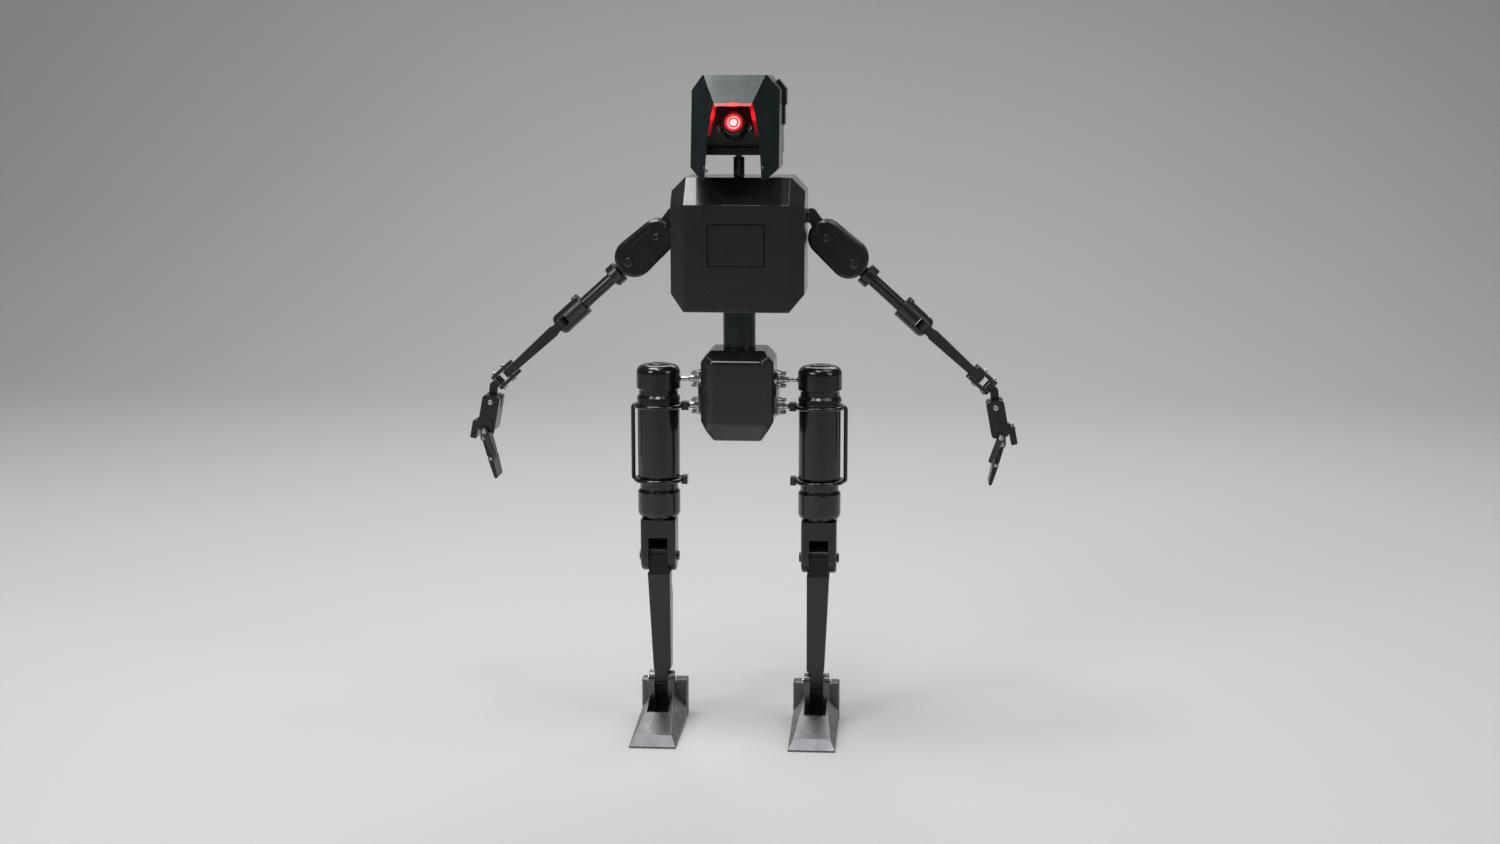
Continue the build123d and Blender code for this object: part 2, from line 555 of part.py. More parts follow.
# Two plates either side of the blade's end, with the pin that joins them to it.
CLEVIS_IN, CLEVIS_OUT = 4.2, 7.6
wrist_face_plane = Plane(origin=arm_point(0), x_dir=arm_u, z_dir=arm_n)
with BuildPart() as wrist_clevis:
    for base in (CLEVIS_IN, -CLEVIS_OUT):
        with BuildSketch(wrist_face_plane.offset(base)):
            with Locations(((WRIST_PIN_S - 6 + WRIST_S) / 2, 0)):
                SlotCenterToCenter(WRIST_S - WRIST_PIN_S + 6, 9)
        extrude(amount=CLEVIS_OUT - CLEVIS_IN)
    for s in (WRIST_PIN_S, WRIST_S):
        add(across_arm(1.3, s, -9.2, 9.2))
save_pair(wrist_clevis.part, "wrist_clevis")

LINK_HALF_N = 3.8
palm_local = arm_plane.to_local_coords(Vector(PALM_PIVOT[0], ARM_Y, PALM_PIVOT[1]))
with BuildPart() as wrist_link:
    add(across_arm(4.0, WRIST_S, -LINK_HALF_N, LINK_HALF_N))
    with BuildSketch(arm_plane.offset(-2.6)):
        with Locations((WRIST_S + 7, 0)):
            Circle(LINK_HALF_N)
        with Locations((palm_local.X, palm_local.Y)):
            Circle(3.7)
        make_hull()
        with Locations((WRIST_S + 3.5, 0)):
            Rectangle(7, 2 * LINK_HALF_N)
    extrude(amount=5.2)
    add(across_arm(1.3 + RUN, WRIST_S, -6, 6), mode=Mode.SUBTRACT)
    add(along_y(1.5 + RUN, PALM_PIVOT[0], ARM_Y - 5, ARM_Y + 5, PALM_PIVOT[1]),
        mode=Mode.SUBTRACT)
save_pair(wrist_link.part, "wrist_link")

# ---------------------------------------------------------------- hand
palm_dir = Vector(math.cos(math.radians(PALM_ANGLE)), 0, -math.sin(math.radians(PALM_ANGLE)))
palm_plane = Plane(origin=(PALM_PIVOT[0], ARM_Y, PALM_PIVOT[1]), x_dir=palm_dir, z_dir=(0, -1, 0))
PALM_TOP, PALM_END = -6.0, 28.0
knuckle_local = palm_plane.to_local_coords(Vector(KNUCKLE[0], ARM_Y, KNUCKLE[1]))
THUMB_BASE = PALM_HALF_Y + 1.8 + GAP     # how far in front of the arm plane the thumb starts
THUMB_ROOT, THUMB_TIP, THUMB_W = (240.4, 271.2), (231.4, 249.2), 5.0
with BuildPart() as palm:
    with BuildSketch(palm_plane.offset(-PALM_HALF_Y)):
        with Locations(((PALM_TOP + PALM_END) / 2, 0)):
            RectangleRounded(PALM_END - PALM_TOP, 2 * PALM_HALF_T, 3.5)
    extrude(amount=2 * PALM_HALF_Y)
    # Slot for the wrist's tongue, with its pin left in the palm.
    with BuildSketch(palm_plane.offset(-2.9)):
        with Locations((-2, 0)):
            Rectangle(14, 20)
    extrude(amount=5.8, mode=Mode.SUBTRACT)
    add(along_y(1.5, PALM_PIVOT[0], ARM_Y - 9, ARM_Y + 9, PALM_PIVOT[1]))
    # Plates that hold the pin of the finger roots.
    for side in (-1, 1):
        plate_base = side * (PALM_HALF_Y + 0.9) - 0.9
        with BuildSketch(palm_plane.offset(plate_base)):
            with Locations((knuckle_local.X, knuckle_local.Y)):
                Circle(3.4)
            with Locations((PALM_END - 8, 0)):
                Circle(5.5)
            make_hull()
        extrude(amount=1.8)
    add(along_y(1.2, KNUCKLE[0], ARM_Y - PALM_HALF_Y - 1.8, ARM_Y + PALM_HALF_Y + 1.8, KNUCKLE[1]))
    # Pin that carries the thumb, on the front.
    add(along_y(1.2, THUMB_ROOT[0], ARM_Y - PALM_HALF_Y - 1, ARM_Y - THUMB_BASE - THUMB_W - 0.8,
                THUMB_ROOT[1]))
save_pair(palm.part, "palm")

BLOCK_ALONG = 29.0      # middle of the block, down the palm
with BuildPart() as knuckle_block:
    with BuildSketch(palm_plane.offset(-9)):
        with Locations((BLOCK_ALONG, PALM_HALF_T + 3)):
            RectangleRounded(17, 6, 1.2)
    extrude(amount=18)
    with BuildSketch(palm_plane.offset(-5)):
        with Locations((BLOCK_ALONG - 8.5, PALM_HALF_T + 1.2)):
            RectangleRounded(5, 2.4, 0.6)
    extrude(amount=10)
save_pair(knuckle_block.part, "knuckle_block")

finger_dir = Vector(math.cos(math.radians(FINGER_ANGLE)), 0, -math.sin(math.radians(FINGER_ANGLE)))
finger_plane = Plane(origin=(KNUCKLE[0], ARM_Y, KNUCKLE[1]), x_dir=finger_dir, z_dir=(0, -1, 0))
finger_rows = [FINGER_PITCH * (row - 1.5) for row in range(4)]
with BuildPart() as finger_roots:
    for row in finger_rows:
        with BuildSketch(finger_plane.offset(row - FINGER_W / 2)):
            Circle(3.0)
            with Locations((FINGER_ROOT_L / 2 - 1.5, 0)):
                Rectangle(FINGER_ROOT_L - 3, FINGER_T)
        extrude(amount=FINGER_W)
        with BuildSketch(finger_plane.offset(row - 1.2)):
            with Locations((FINGER_ROOT_L - 3, 0)):
                Rectangle(6, FINGER_T - 0.8)
            with Locations((FINGER_ROOT_L, 0)):
                Circle(FINGER_T / 2 - 0.4)
        extrude(amount=2.4)
    # Bar that joins the four roots, so that they close together.
    with BuildSketch(finger_plane.offset(finger_rows[0])):
        with Locations((8, 0)):
            Circle(1.4)
    extrude(amount=finger_rows[-1] - finger_rows[0])
    for x, radius in ((0, 1.2 + RUN), (FINGER_ROOT_L, 0.8 + RUN)):
        with BuildSketch(finger_plane.offset(-16)):
            with Locations((x, 0)):
                Circle(radius)
        extrude(amount=32, mode=Mode.SUBTRACT)
save_pair(finger_roots.part, "finger_roots")

with BuildPart() as finger_tips:
    for row in finger_rows:
        with BuildSketch(finger_plane.offset(row - FINGER_W / 2)):
            with Locations((FINGER_ROOT_L, 0)):
                Circle(FINGER_T / 2)
            with Locations((FINGER_ROOT_L + FINGER_TIP_L - 1.6, 0)):
                Circle(1.6)
            make_hull()
        extrude(amount=FINGER_W)
        with BuildSketch(finger_plane.offset(row - 1.5)):
            with Locations((FINGER_ROOT_L, 0)):
                Circle(FINGER_T / 2 + 0.3)
            with Locations((FINGER_ROOT_L - 3, 0)):
                Rectangle(6, 8)
        extrude(amount=3.0, mode=Mode.SUBTRACT)
        with BuildSketch(finger_plane.offset(row - FINGER_W / 2)):
            with Locations((FINGER_ROOT_L, 0)):
                Circle(0.8)
        extrude(amount=FINGER_W)
    # Web that joins the four tips behind the joint.
    with BuildSketch(finger_plane.offset(finger_rows[0])):
        with Locations((FINGER_ROOT_L + 7, 0)):
            Circle(1.0)
    extrude(amount=finger_rows[-1] - finger_rows[0])
save_pair(finger_tips.part, "finger_tips")

with BuildPart() as thumb:
    thumb_plane = Plane(origin=(0, ARM_Y, 0), x_dir=(1, 0, 0), z_dir=(0, -1, 0))
    with BuildSketch(thumb_plane.offset(THUMB_BASE)):
        with Locations(THUMB_ROOT):
            Circle(3.2)
        with Locations(THUMB_TIP):
            Circle(2.0)
        make_hull()
    extrude(amount=THUMB_W)
    fillet(thumb.faces().sort_by(Axis.Y)[0].edges(), 0.8)
    add(along_y(1.2 + RUN, THUMB_ROOT[0], ARM_Y - 30, ARM_Y, THUMB_ROOT[1]), mode=Mode.SUBTRACT)
save_pair(thumb.part, "thumb")

# ---------------------------------------------------------------- leg (left, then mirrored)
ROD_R, BOLT_R = 2.1, 1.3
with BuildPart() as hip_plate:
    add(along_x(HIP_SOCKET_R, 25, PELVIS_HALF + GAP, LEG_Y, HIP_Z))
    add(along_x(21, PELVIS_HALF + GAP, PELVIS_HALF + 2.5, LEG_Y, HIP_Z))
    for rise in (ROD_RISE, -ROD_RISE):
        z = HIP_Z + rise
        end = 60 if rise > 0 else 51
        add(along_x(3.4, PELVIS_HALF + 2.5, PELVIS_HALF + 4.5, LEG_Y, z))
        add(along_x(ROD_R, PELVIS_HALF + 2, end, LEG_Y, z))
        for y in (-4.6, 4.6):
            for dz in (-5.6, 5.6):
                add(along_x(BOLT_R, PELVIS_HALF + 2, PELVIS_HALF + 10, LEG_Y + y, z + dz))
save_pair(hip_plate.part, "hip_plate")

thigh_profile = [
    (0, 338.5), (20.2, 338.5), (20.2, 316.8), (18.0, 315.2), (18.0, 310.8), (19.9, 308.5),
    (20.0, 305.8), (19.4, 304.4), (19.4, 236), (17.6, 228), (17.6, 223), (19.6, 220),
    (19.6, 194.7), (0, 194.7),
]
with BuildPart() as thigh_barrel:
    with BuildSketch(Plane.XZ.offset(-LEG_Y)):
        with BuildLine():
            Polyline(*[(LEG_X + r, z) for r, z in thigh_profile], close=True)
        make_face()
    revolve(axis=Axis((LEG_X, LEG_Y, 0), (0, 0, 1)))
    thigh_rounds = thigh_barrel.edges().filter_by(GeomType.CIRCLE).group_by(Axis.Z)
    fillet(thigh_rounds[0] + thigh_rounds[-1], 7.5)
    add(along_x(ROD_R, 50, 60, LEG_Y, HIP_Z + ROD_RISE), mode=Mode.SUBTRACT)
save_pair(thigh_barrel.part, "thigh_barrel")

RING_HIGH, RING_LOW, RING_R, WIRE_R = HIP_Z - ROD_RISE - 0.4, 231.2, 21.4, 2.0
BAR_X = LEG_X + RING_R + 2.4
with BuildPart() as thigh_cage:
    for z in (RING_HIGH, RING_LOW):
        with Locations((LEG_X, LEG_Y, z)):
            Torus(RING_R, WIRE_R)
    # Straight side bar on the outside, then the lugs on the inside.
    with BuildLine() as bar_path:
        FilletPolyline(
            (LEG_X + RING_R - 0.5, LEG_Y, RING_HIGH),
            (BAR_X, LEG_Y, RING_HIGH),
            (BAR_X, LEG_Y, RING_LOW),
            (LEG_X + RING_R - 0.5, LEG_Y, RING_LOW),
            radius=2.5,
        )
    with BuildSketch(Plane(origin=bar_path.line @ 0, z_dir=bar_path.line % 0)):
        Circle(WIRE_R - 0.1)
    sweep(path=bar_path.line)
    for z, x0 in ((RING_HIGH, 46.5), (RING_LOW, 47.5)):
        with Locations(((x0 + LEG_X - RING_R) / 2, LEG_Y, z)):
            Box(LEG_X - RING_R - x0, 9, 7.6)
    # The rings sit on the barrel.
    with Locations((LEG_X, LEG_Y, 270)):
        Cylinder(19.75, 140, mode=Mode.SUBTRACT)
    add(along_x(ROD_R, 44, 51, LEG_Y, HIP_Z - ROD_RISE), mode=Mode.SUBTRACT)
save_pair(thigh_cage.part, "thigh_cage")

CLEVIS_TOP, BRIDGE_Z, APRON_Z = 194.7, 178.0, 166.0
with BuildPart() as knee_clevis:
    with BuildSketch(Plane.YZ.offset(LEG_X - CLEVIS_HALF)):
        with Locations((LEG_Y, KNEE_Z)):
            Circle(CLEVIS_R)
        with Locations((LEG_Y, (KNEE_Z + CLEVIS_TOP) / 2)):
            Rectangle(2 * CLEVIS_R, CLEVIS_TOP - KNEE_Z)
    extrude(amount=2 * CLEVIS_HALF)
    clevis_sides = knee_clevis.faces().filter_by(Axis.X).sort_by(Axis.X)
    for face in (clevis_sides[0], clevis_sides[-1]):
        fillet(face.edges().filter_by(GeomType.CIRCLE), 2.5)
    with Locations((LEG_X, LEG_Y, (BRIDGE_Z + 130) / 2)):
        Box(2 * CLEVIS_GAP, 40, BRIDGE_Z - 130, mode=Mode.SUBTRACT)
    # Thin apron that closes the back of the slot above the knee.
    with Locations((LEG_X, LEG_Y + CLEVIS_R - 1, (APRON_Z + BRIDGE_Z) / 2)):
        Box(2 * CLEVIS_GAP, 2, BRIDGE_Z - APRON_Z)
    add(along_x(3.5, LEG_X - CLEVIS_HALF - 1, LEG_X + CLEVIS_HALF + 1, LEG_Y, KNEE_Z))
save_pair(knee_clevis.part, "knee_clevis")

SHIN_HEAD_HALF, SHIN_STEP_Z = CLEVIS_GAP - GAP, KNEE_Z - 14.8
SHIN_IN, SHIN_OUT_TOP, SHIN_OUT_LOW = LEG_X - 10.8, LEG_X + 9.8, LEG_X + 5.4
SHIN_DEEP, SHIN_RELIEF, SHIN_DEEP_LOW, ANKLE_R = 12.5, 6.0, 8.0, 7.0
with BuildPart() as shin:
    # Side outline, front to back, with a round head at the knee and at the ankle.
    with BuildSketch(Plane.YZ.offset(SHIN_IN - 2)):
        with BuildLine():
            Polyline(
                (LEG_Y - KNEE_R, KNEE_Z), (LEG_Y - SHIN_DEEP, KNEE_Z - 16),
                (LEG_Y - SHIN_DEEP_LOW, ANKLE_Z + 14), (LEG_Y - ANKLE_R, ANKLE_Z),
                (LEG_Y + ANKLE_R, ANKLE_Z), (LEG_Y + SHIN_DEEP_LOW, ANKLE_Z + 14),
                (LEG_Y + SHIN_DEEP, KNEE_Z - 41), (LEG_Y + SHIN_RELIEF, KNEE_Z - 29),
                (LEG_Y + SHIN_RELIEF, KNEE_Z), close=True,
            )
        make_face()
        with Locations((LEG_Y, KNEE_Z)):
            Circle(KNEE_R)
        with Locations((LEG_Y, ANKLE_Z)):
            Circle(ANKLE_R)
    extrude(amount=24)
    # Front outline: narrow head in the clevis, tapering outside edge, narrow foot end.
    with BuildSketch(Plane.XZ.offset(-LEG_Y - 20)):
        with BuildLine():
            Polyline(
                (LEG_X - SHIN_HEAD_HALF, KNEE_Z + 12), (LEG_X + SHIN_HEAD_HALF, KNEE_Z + 12),
                (LEG_X + SHIN_HEAD_HALF, SHIN_STEP_Z), (SHIN_OUT_TOP, SHIN_STEP_Z),
                (SHIN_OUT_LOW, ANKLE_Z + 12), (ANKLE_X + 5.9, ANKLE_Z + 9),
                (ANKLE_X + 5.9, ANKLE_Z - 8), (ANKLE_X - 5.9, ANKLE_Z - 8),
                (ANKLE_X - 5.9, ANKLE_Z + 9), (SHIN_IN, ANKLE_Z + 12), (SHIN_IN, SHIN_STEP_Z),
                (LEG_X - SHIN_HEAD_HALF, SHIN_STEP_Z), close=True,
            )
        make_face()
    extrude(amount=40, mode=Mode.INTERSECT)
    add(along_x(3.5 + RUN, 50, 100, LEG_Y, KNEE_Z), mode=Mode.SUBTRACT)
    add(along_x(2.5 + RUN, 50, 100, LEG_Y, ANKLE_Z), mode=Mode.SUBTRACT)
save_pair(shin.part, "shin")

PLATE_HALF, SOLE_RISE, TOE_Z, PLATE_REAR_Z = 16.8, 1.5, 10.0, 31.5
EAR_IN, EAR_OUT, EAR_R = 6.2, 11.6, 8.0
HEEL_FRONT = LEG_Y + 12.0
with BuildPart() as foot:
    # Wedge that narrows upwards, between the sole and the sloping top plate.
    with BuildSketch(Plane.XY):
        with Locations((ANKLE_X - 1, (TOE_Y + HEEL_FRONT) / 2)):
            Rectangle(2 * FOOT_HALF, HEEL_FRONT - TOE_Y)
    extrude(amount=34)
    slope_top = [(0, TOE_Y + 8, TOE_Z), (60, TOE_Y + 8, TOE_Z), (0, HEEL_FRONT, PLATE_REAR_Z)]
    foot_inside = (ANKLE_X - 1, LEG_Y - 30, 5)
    split(bisect_by=facet(*slope_top, foot_inside), keep=Keep.BOTTOM)
    toe_slope = [(0, TOE_Y, SOLE_RISE), (60, TOE_Y, SOLE_RISE), (0, TOE_Y + 8, TOE_Z)]
    split(bisect_by=facet(*toe_slope, foot_inside), keep=Keep.BOTTOM)
    for side in (-1, 1):
        edge_x, top_x = ANKLE_X - 1 + side * FOOT_HALF, ANKLE_X - 1 + side * PLATE_HALF
        side_slope = [(edge_x, TOE_Y, SOLE_RISE), (edge_x, HEEL_FRONT, SOLE_RISE + 7),
                      (top_x, TOE_Y + 8, TOE_Z)]
        split(bisect_by=facet(*side_slope, foot_inside), keep=Keep.BOTTOM)
    # Pocket in front of the ankle, and the two ears of the ankle fork.
    with Locations((ANKLE_X, LEG_Y - 14, 24)):
        Box(19.8, 52, 28, mode=Mode.SUBTRACT)
    for side in (-1, 1):
        ear_base = ANKLE_X + (EAR_IN if side > 0 else -EAR_OUT)
        with BuildSketch(Plane.YZ.offset(ear_base)):
            with Locations((LEG_Y, ANKLE_Z)):
                Circle(EAR_R)
            with Locations((LEG_Y, (ANKLE_Z + 5) / 2)):
                Rectangle(2 * EAR_R, ANKLE_Z - 5)
        extrude(amount=EAR_OUT - EAR_IN)
    add(along_x(2.5, ANKLE_X - EAR_OUT - 1.2, ANKLE_X + EAR_OUT + 1.2, LEG_Y, ANKLE_Z))
save_pair(foot.part, "foot")

with BuildPart() as heel_block:
    with Locations((ANKLE_X - 1, (HEEL_FRONT + HEEL_Y) / 2, 18)):
        Box(2 * FOOT_HALF + 1, HEEL_Y - HEEL_FRONT, 36)
    fillet(heel_block.edges().filter_by(Axis.Z), 1.5)
    chamfer(heel_block.faces().sort_by(Axis.Z)[-1].edges(), 1)
save_pair(heel_block.part, "heel_block")
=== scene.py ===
import json
import math

import bmesh
import bpy
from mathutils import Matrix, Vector


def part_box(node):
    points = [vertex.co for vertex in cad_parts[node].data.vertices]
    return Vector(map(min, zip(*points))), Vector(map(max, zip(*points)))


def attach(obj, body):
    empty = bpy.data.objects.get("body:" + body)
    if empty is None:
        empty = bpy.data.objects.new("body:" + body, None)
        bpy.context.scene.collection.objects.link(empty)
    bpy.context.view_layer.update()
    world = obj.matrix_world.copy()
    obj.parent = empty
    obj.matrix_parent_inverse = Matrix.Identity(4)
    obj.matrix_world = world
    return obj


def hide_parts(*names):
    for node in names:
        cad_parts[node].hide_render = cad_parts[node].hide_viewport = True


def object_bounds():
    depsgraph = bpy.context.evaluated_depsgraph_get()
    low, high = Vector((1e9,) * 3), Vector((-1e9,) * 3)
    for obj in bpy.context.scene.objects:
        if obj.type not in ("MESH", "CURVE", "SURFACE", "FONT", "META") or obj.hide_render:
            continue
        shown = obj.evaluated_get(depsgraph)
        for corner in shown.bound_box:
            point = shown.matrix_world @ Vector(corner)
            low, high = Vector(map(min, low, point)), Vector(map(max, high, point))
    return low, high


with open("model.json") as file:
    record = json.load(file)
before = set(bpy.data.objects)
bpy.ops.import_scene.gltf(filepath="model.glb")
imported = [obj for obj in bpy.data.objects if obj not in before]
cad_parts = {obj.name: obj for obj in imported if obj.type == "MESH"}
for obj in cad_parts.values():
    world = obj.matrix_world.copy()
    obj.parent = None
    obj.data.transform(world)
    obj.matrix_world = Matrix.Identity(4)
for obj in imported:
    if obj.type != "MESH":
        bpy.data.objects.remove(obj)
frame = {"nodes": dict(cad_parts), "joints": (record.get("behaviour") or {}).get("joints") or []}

# The robot faces -Y, +Z is up and its own left is +X. Everything is in metres.
MM = 0.001
nodes = frame["nodes"]
joints = {joint["name"]: joint for joint in frame["joints"]}
cad_low, cad_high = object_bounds()
HEIGHT = cad_high.z - cad_low.z
SIDES = (("left", 1), ("right", -1))
X, Y, Z = Vector((1, 0, 0)), Vector((0, 1, 0)), Vector((0, 0, 1))


def joint_at(name):
    """Where a joint sits at rest."""
    return Vector(joints[name]["pos_m"])


def middle(node):
    """Middle of a CAD node's box."""
    low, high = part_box(node)
    return (low + high) / 2


# ---------------------------------------------------------------- materials
class Nodes:
    """Short names for the shader nodes that the materials share."""

    def __init__(self, name):
        self.material = bpy.data.materials.new(name)
        self.material.use_nodes = True
        self.tree = self.material.node_tree
        self.tree.nodes.clear()
        output = self.add("ShaderNodeOutputMaterial")
        self.shader = self.add("ShaderNodeBsdfPrincipled")
        self.join(self.shader.outputs["BSDF"], output.inputs["Surface"])
        self.place = self.add("ShaderNodeTexCoord").outputs["Object"]

    def add(self, kind, **settings):
        node = self.tree.nodes.new(kind)
        for key, value in settings.items():
            setattr(node, key, value)
        return node

    def join(self, source, target):
        self.tree.links.new(source, target)

    def feed(self, target, value):
        if isinstance(value, bpy.types.NodeSocket):
            self.join(value, target)
        else:
            target.default_value = value

    def maths(self, operation, a, b=0.0):
        node = self.add("ShaderNodeMath", operation=operation)
        self.feed(node.inputs[0], a)
        self.feed(node.inputs[1], b)
        return node.outputs[0]

    def remap(self, value, low, high, new_low=0.0, new_high=1.0, smooth=False):
        node = self.add("ShaderNodeMapRange")
        node.interpolation_type = "SMOOTHSTEP" if smooth else "LINEAR"
        for index, number in enumerate((value, low, high, new_low, new_high)):
            self.feed(node.inputs[index], number)
        return node.outputs[0]

    def mix(self, factor, a, b):
        node = self.add("ShaderNodeMix", data_type="RGBA")
        self.feed(node.inputs["Factor"], factor)
        self.feed(node.inputs["A"], a)
        self.feed(node.inputs["B"], b)
        return node.outputs["Result"]

    def noise(self, feature, detail, stretch=(1, 1, 1)):
        """Noise whose features are about this many metres across, stretched along an axis."""
        mapping = self.add("ShaderNodeMapping")
        mapping.inputs["Scale"].default_value = [1 / (feature * s) for s in stretch]
        self.join(self.place, mapping.inputs["Vector"])
        node = self.add("ShaderNodeTexNoise")
        node.inputs["Scale"].default_value = 1.0
        node.inputs["Detail"].default_value = detail
        self.join(mapping.outputs["Vector"], node.inputs["Vector"])
        return node.outputs["Fac"]

    def distance(self, point, spread):
        """Distance of the shaded spot from a point, each axis weighted by spread."""
        away = self.add("ShaderNodeVectorMath", operation="SUBTRACT")
        self.join(self.place, away.inputs[0])
        away.inputs[1].default_value = point
        scaled = self.add("ShaderNodeVectorMath", operation="MULTIPLY")
        self.join(away.outputs[0], scaled.inputs[0])
        scaled.inputs[1].default_value = spread
        length = self.add("ShaderNodeVectorMath", operation="LENGTH")
        self.join(scaled.outputs[0], length.inputs[0])
        return length.outputs["Value"]


def shade(colour, gain):
    """A colour made lighter or darker, with alpha."""
    return tuple(min(1.0, channel * gain) for channel in colour) + (1.0,)


# Sizes of the chips and smudges on every coating, and of the lines on a brushed one.
CHIP, SMUDGE, BRUSH_LINE = 4 * MM, 14 * MM, 0.3 * MM
# Cosine between the rounded and the flat normal, where an edge starts to be lightened and where it is
# lightened all through. The lightening is partly wear and partly a painted edge highlight.
WEAR_HIGHLIGHT_START, WEAR_HIGHLIGHT_FULL = 0.97, 0.86
# Least and most roughness among smudges, as shares of the coating's own, and what brushing adds or takes.
SMUDGE_LEAST, SMUDGE_MOST, BRUSH_ROUGHNESS = 0.82, 1.22, 0.08
COAT_ROUGHNESS = 0.06


def coated(name, colour, roughness, metallic=0.0, coat=0.0, mottle=0.18, blotch=35 * MM,
           grain=0.5 * MM, grain_height=0.004 * MM, edge=0.5 * MM, edge_gain=2.2,
           brush=None, brush_height=0.0, anisotropic=0.0, wear_and_highlight_share=0.35):
    """A paint, plastic or metal: uneven colour, smudged gloss, fine grain and rounded edges, lightened in
    broken patches as wear and as a painted edge highlight.
    """
    n = Nodes(name)
    cloud = n.noise(blotch, 5.0)
    base = n.mix(n.remap(cloud, 0.3, 0.7), shade(colour, 1 - mottle), shade(colour, 1 + mottle))
    # Edges: the rounded normal leaves the flat one within this distance of an edge.
    rounded = n.add("ShaderNodeBevel", samples=8)
    rounded.inputs["Radius"].default_value = edge
    lie = n.add("ShaderNodeVectorMath", operation="DOT_PRODUCT")
    n.join(rounded.outputs["Normal"], lie.inputs[0])
    n.join(n.add("ShaderNodeNewGeometry").outputs["Normal"], lie.inputs[1])
    rim = n.remap(lie.outputs["Value"], WEAR_HIGHLIGHT_START, WEAR_HIGHLIGHT_FULL)
    chips = n.remap(n.noise(CHIP, 6.0), 0.35, 0.62)
    # Edges lightened in broken patches: partly wear, partly a painted edge highlight.
    wear_and_highlight = n.maths("MULTIPLY", rim, n.maths("MULTIPLY", chips, wear_and_highlight_share))
    n.join(n.mix(wear_and_highlight, base, shade(colour, edge_gain)), n.shader.inputs["Base Color"])
    smudge = n.remap(n.noise(SMUDGE, 6.0), 0.25, 0.75, roughness * SMUDGE_LEAST, roughness * SMUDGE_MOST)
    height = n.noise(grain, 2.0)
    bump = n.add("ShaderNodeBump")
    bump.inputs["Strength"].default_value = 1.0
    bump.inputs["Distance"].default_value = grain_height
    if brush:
        lines = n.noise(BRUSH_LINE, 3.0, stretch=brush)
        smudge = n.maths("ADD", smudge, n.remap(lines, 0.3, 0.7, -BRUSH_ROUGHNESS, BRUSH_ROUGHNESS))
        height = lines
        bump.inputs["Distance"].default_value = brush_height
    n.join(height, bump.inputs["Height"])
    n.join(rounded.outputs["Normal"], bump.inputs["Normal"])
    n.join(smudge, n.shader.inputs["Roughness"])
    n.join(bump.outputs["Normal"], n.shader.inputs["Normal"])
    n.shader.inputs["Metallic"].default_value = metallic
    n.shader.inputs["Coat Weight"].default_value = coat
    n.shader.inputs["Coat Roughness"].default_value = COAT_ROUGHNESS
    n.shader.inputs["Anisotropic"].default_value = anisotropic
    return n.material


# Brushed lines are this many times longer than wide, along one axis.
BRUSH_STRETCH = 60
ALONG_Y, ALONG_Z = (1, BRUSH_STRETCH, 1), (1, 1, BRUSH_STRETCH)

# edge_gain is how far edges are lightened, partly as wear and partly as a painted edge highlight.
graphite = coated("graphite_paint", (0.018, 0.018, 0.018), 0.24, mottle=0.06, coat=0.45,
                  grain=1.5 * MM, grain_height=0.0015 * MM, edge_gain=5.0)
teal = coated("teal_paint", (0.012, 0.0205, 0.0215), 0.28, metallic=0.3, coat=0.2, mottle=0.35,
              blotch=20 * MM, brush=ALONG_Z, brush_height=0.0012 * MM, edge_gain=7.0, wear_and_highlight_share=0.6)
gloss_black = coated("gloss_black", (0.006, 0.006, 0.0065), 0.19, coat=0.35, mottle=0.1,
                     grain_height=0.001 * MM, edge=0.6 * MM, edge_gain=3.0)
pelvis_black = coated("pelvis_black", (0.012, 0.0115, 0.0112), 0.23, coat=0.4, mottle=0.12,
                      grain_height=0.0015 * MM, edge=0.8 * MM, edge_gain=3.0)
satin_black = coated("satin_black", (0.0085, 0.0085, 0.0088), 0.30, mottle=0.15, coat=0.2, edge_gain=5.0)
dark_metal = coated("dark_metal", (0.062, 0.062, 0.064), 0.30, metallic=0.85, mottle=0.15, edge_gain=3.0)
blade_metal = coated("blade_metal", (0.05, 0.05, 0.052), 0.30, metallic=0.7, mottle=0.15, edge_gain=4.0)
bright_steel = coated("bright_steel", (0.52, 0.52, 0.53), 0.2, metallic=1.0, mottle=0.1,
                      grain_height=0.001 * MM, edge=0.25 * MM, edge_gain=1.4)
dark_steel = coated("dark_steel", (0.09, 0.09, 0.092), 0.26, metallic=1.0, mottle=0.15,
                    edge=0.3 * MM, edge_gain=3.0)
foot_metal = coated("foot_metal", (0.15, 0.148, 0.156), 0.33, metallic=1.0, mottle=0.12, brush=ALONG_Y,
                    brush_height=0.004 * MM, anisotropic=0.4, edge=0.6 * MM)
frame_grey = coated("frame_grey", (0.075, 0.075, 0.075), 0.42, mottle=0.12, edge_gain=3.0)
board = coated("board_green", (0.02, 0.12, 0.05), 0.45, mottle=0.2)
wrap = coated("battery_wrap", (0.02, 0.04, 0.1), 0.4, mottle=0.15)

eye_axis_spot = joint_at("eye_tilt")
eye_look = (middle("eye_lens") - eye_axis_spot).normalized()

# Painted red light of the arch, standing for the eye's glow reflected on its inner edge: its strength between
# painted hot spots, what a hot spot adds, and how far a hot spot reaches.
ARCH_BETWEEN, ARCH_HOT, HOT_REACH = 0.42, 5.0, 6 * MM
# Where the side spots are, as shares of the arch's half width and height, and how high the fade reaches.
SIDE_SPOT_OUT, SIDE_SPOT_UP, FADE_UP = 0.86, 0.62, 0.8
# Distances from the eye's axis where its ring glows most and least.
RING_BRIGHT, RING_DIM = 5.4 * MM, 8.3 * MM
# The red circle in the eye's white core: its radius, and how far from it the red ends and is full.
LINE_RADIUS, LINE_END, LINE_FULL = 3.9 * MM, 0.95 * MM, 0.45 * MM


